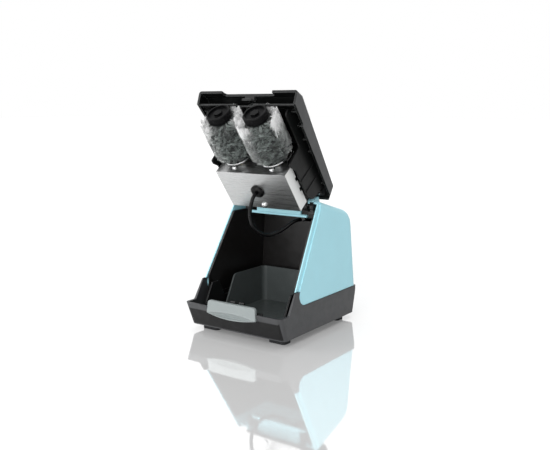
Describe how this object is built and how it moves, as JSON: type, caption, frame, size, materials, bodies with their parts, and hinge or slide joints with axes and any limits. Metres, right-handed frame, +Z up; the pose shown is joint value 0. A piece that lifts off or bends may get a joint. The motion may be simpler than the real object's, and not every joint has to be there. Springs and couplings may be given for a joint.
{
  "type": "soldering tip cleaning machine",
  "caption": "Compact housing with a hinged hood carrying a geared pair of counter-rotating wire brushes above a lift-out residue bin, with a push-button hood latch.",
  "frame": {"origin": "on the ground under the centre of the footprint, at the underside of the feet", "axes": "+X to the right seen from the front, +Y to the rear, +Z up; the hood is stored open"},
  "size_m": [0.12, 0.15, 0.2442],
  "materials": {
    "base": "fine textured dark grey moulding",
    "feet": "dull black",
    "cover": "satin light blue-green moulding",
    "liner": "smooth black",
    "hinge_block": "matt black",
    "bright_steel": "bright",
    "board": "green laminate",
    "black_part": "matt black",
    "spring": "spring steel",
    "bin": "dark grey, dulled by residue",
    "button": "satin light grey",
    "hood": "fine textured dark grey moulding",
    "inner_plastic": "matt black",
    "guard": "soft black",
    "sheet": "finely brushed stainless sheet",
    "motor": "plated can",
    "brass": "turned",
    "gear": "natural engineering plastic",
    "bristles": "dense fine wire and fibre",
    "cap": "matt black",
    "lead": "black sheath"
  },
  "bodies": {
    "base": {"base_shell": "base", "foot_front_left": "feet", "foot_front_right": "feet", "foot_rear_left": "feet", "foot_rear_right": "feet", "cover_shell": "cover", "inner_liner": "liner", "hinge_block_left": "hinge_block", "hinge_block_right": "hinge_block", "hinge_pin_left": "bright_steel", "hinge_pin_right": "bright_steel", "circuit_board": "board", "power_jack": "black_part", "base_screws": "bright_steel", "lead_clip": "black_part", "button_spring": "spring", "internal_lead": "lead"},
    "bin": {"residue_bin": "bin"},
    "button": {"release_button": "button", "latch_slide": "black_part"},
    "hood": {"hood_shell": "hood", "splash_shroud": "inner_plastic", "splash_guard": "guard", "sensor_emitter": "black_part", "sensor_receiver": "black_part", "hinge_arm_left": "hinge_block", "hinge_arm_right": "hinge_block", "arm_screws": "bright_steel", "gearbox_housing": "inner_plastic", "drive_cover": "sheet", "drive_screws": "bright_steel", "cable_grommet": "guard", "motor": "motor", "bearing_left": "brass", "bearing_right": "brass", "idler_pins": "bright_steel"},
    "brush_left_rotor": {"spindle_left": "bright_steel", "gear_left": "gear", "brush_left": "bristles", "cap_left": "cap"},
    "brush_right_rotor": {"spindle_right": "bright_steel", "gear_right": "gear", "brush_right": "bristles", "cap_right": "cap"},
    "idler_left_rotor": {"idler_left": "gear"},
    "idler_right_rotor": {"idler_right": "gear"},
    "motor_rotor": {"motor_pinion": "brass"}
  },
  "joints": [
    {"name": "hood_hinge", "type": "hinge", "parent": "base", "child": "hood", "pos_m": [0, 0.018, 0.128], "axis": [1, 0, 0], "range_deg": [0, 109], "deforming": ["internal_lead"]},
    {"name": "bin_lift", "type": "slide", "parent": "base", "child": "bin", "axis": [0, 0, 1], "range_m": [0, 0.003]},
    {"name": "button_press", "type": "slide", "parent": "base", "child": "button", "axis": [0, 1, 0], "range_m": [0, 0.002], "stiffness_N_per_m": 600, "springref_m": -0.003, "deforming": ["button_spring"]},
    {"name": "brush_left_spin", "type": "hinge", "parent": "hood", "child": "brush_left_rotor", "pos_m": [-0.0222, -0.02494, 0.17558], "axis": [0, -0.6101, 0.7923], "continuous": true},
    {"name": "brush_right_spin", "type": "hinge", "parent": "hood", "child": "brush_right_rotor", "pos_m": [0.0222, -0.02494, 0.17558], "axis": [0, -0.6101, 0.7923], "continuous": true},
    {"name": "idler_left_spin", "type": "hinge", "parent": "hood", "child": "idler_left_rotor", "pos_m": [-0.00656, -0.02128, 0.17083], "axis": [0, -0.6101, 0.7923], "continuous": true},
    {"name": "idler_right_spin", "type": "hinge", "parent": "hood", "child": "idler_right_rotor", "pos_m": [0.00656, -0.02128, 0.17083], "axis": [0, -0.6101, 0.7923], "continuous": true},
    {"name": "motor_spin", "type": "hinge", "parent": "hood", "child": "motor_rotor", "pos_m": [0, -0.0164, 0.16449], "axis": [0, -0.6101, 0.7923], "continuous": true}
  ],
  "couplings": [
    {"joint": "brush_right_spin", "follows": "brush_left_spin", "ratio": -1},
    {"joint": "motor_spin", "follows": "brush_left_spin", "ratio": -2.5},
    {"joint": "idler_left_spin", "follows": "brush_left_spin", "ratio": -1.3846},
    {"joint": "idler_right_spin", "follows": "brush_left_spin", "ratio": 1.3846}
  ]
}
